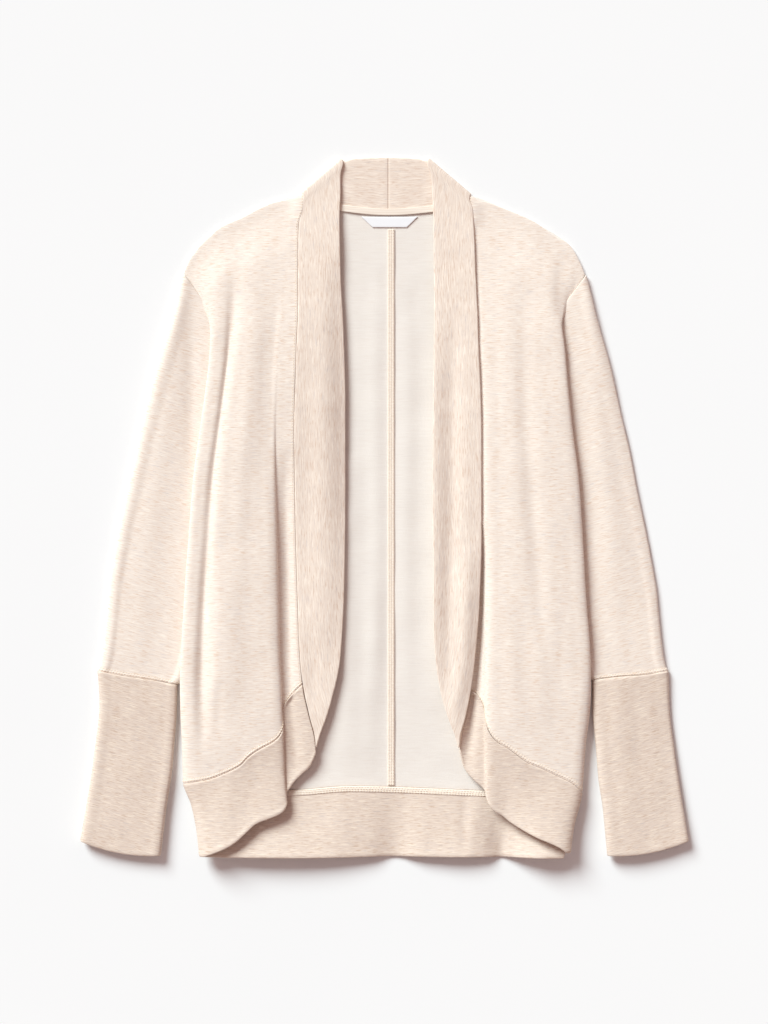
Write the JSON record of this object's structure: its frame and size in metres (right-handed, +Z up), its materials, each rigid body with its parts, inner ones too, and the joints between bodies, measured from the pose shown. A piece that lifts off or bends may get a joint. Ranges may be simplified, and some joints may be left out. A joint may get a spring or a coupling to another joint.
{
  "type": "open-front cardigan",
  "caption": "Open-front knit cardigan laid flat, front up, with a wide shawl collar band, set-in sleeves, deep folded cuffs and a curved folded hem band.",
  "frame": {"origin": "on the surface that the garment lies on, below the middle of its box", "axes": "+Y from the hem towards the neck, +Z up from the surface through the back and out of the front, +X towards the wearer's left"},
  "size_m": [0.64, 0.7365, 0.0262],
  "materials": {
    "body_cloth": "oatmeal heather jersey, fine level streaks, matt",
    "back_cloth": "pale brushed inner face, soft and matt",
    "collar_cloth": "oatmeal heather jersey folded double, streaks along the band",
    "band_cloth": "oatmeal heather jersey folded double, slightly darker, matt",
    "seam_tape": "smooth cotton tape, matt",
    "label_cloth": "smooth white woven label, bare"
  },
  "bodies": {
    "root": {"back_left": "back_cloth", "back_right": "back_cloth", "front_left": "body_cloth", "front_right": "body_cloth", "sleeve_left": "body_cloth", "sleeve_right": "body_cloth", "cuff_left": "band_cloth", "cuff_right": "band_cloth", "collar_left": "collar_cloth", "collar_right": "collar_cloth", "hem_band_back": "band_cloth", "hem_band_front_left": "band_cloth", "hem_band_front_right": "band_cloth", "centre_back_seam_tape": "seam_tape", "back_neck_tape": "seam_tape", "neck_label": "label_cloth"}
  },
  "joints": []
}
